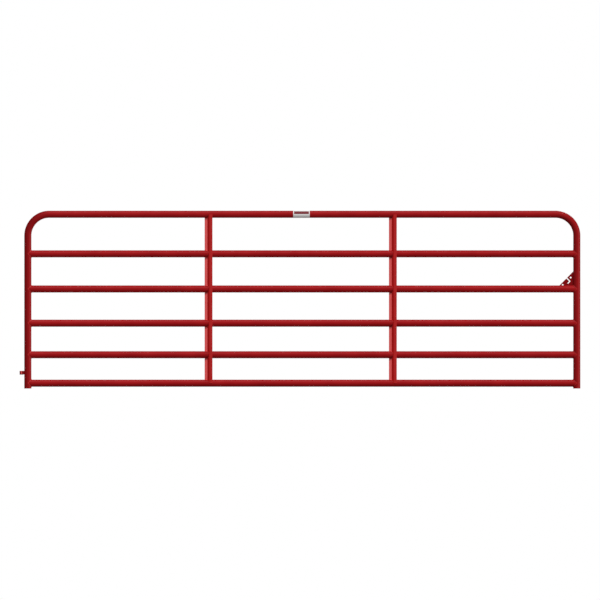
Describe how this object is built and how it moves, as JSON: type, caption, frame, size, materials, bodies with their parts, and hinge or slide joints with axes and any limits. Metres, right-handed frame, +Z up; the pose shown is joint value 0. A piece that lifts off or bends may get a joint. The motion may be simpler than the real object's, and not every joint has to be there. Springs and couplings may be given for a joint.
{
  "type": "field gate",
  "caption": "Tubular steel field gate: bent hoop frame, level rails set closer towards the ground, formed upright stays, a slotted chain latch plate and a turning lower hinge.",
  "frame": {"origin": "on the lower hinge's axis, at the foot of the bush, where the fence's hinge pin carries the gate", "axes": "+X along the gate from hinge to latch, +Y from the front face to the back, +Z up the hinge axis"},
  "size_m": [4.0052, 0.0532, 1.2705],
  "materials": {
    "red_paint": "satin powder coat",
    "stay_paint": "gloss powder coat",
    "bush_plastic": "moulded nylon",
    "label_film": "satin vinyl"
  },
  "bodies": {
    "hinge_bush": {"lower_hinge_bush": "bush_plastic"},
    "gate": {"frame_hoop": "red_paint", "second_rail": "red_paint", "third_rail": "red_paint", "fourth_rail": "red_paint", "fifth_rail": "red_paint", "bottom_rail": "red_paint", "latch_plate": "red_paint", "lower_hinge_sleeve": "red_paint", "lower_hinge_strap": "red_paint", "hinge_side_stay": "stay_paint", "latch_side_stay": "stay_paint", "label": "label_film"}
  },
  "joints": [
    {"name": "gate_swing", "type": "hinge", "parent": "hinge_bush", "child": "gate", "pos_m": [0, 0, 0], "axis": [0, 0, 1], "range_deg": [-90, 90]}
  ]
}
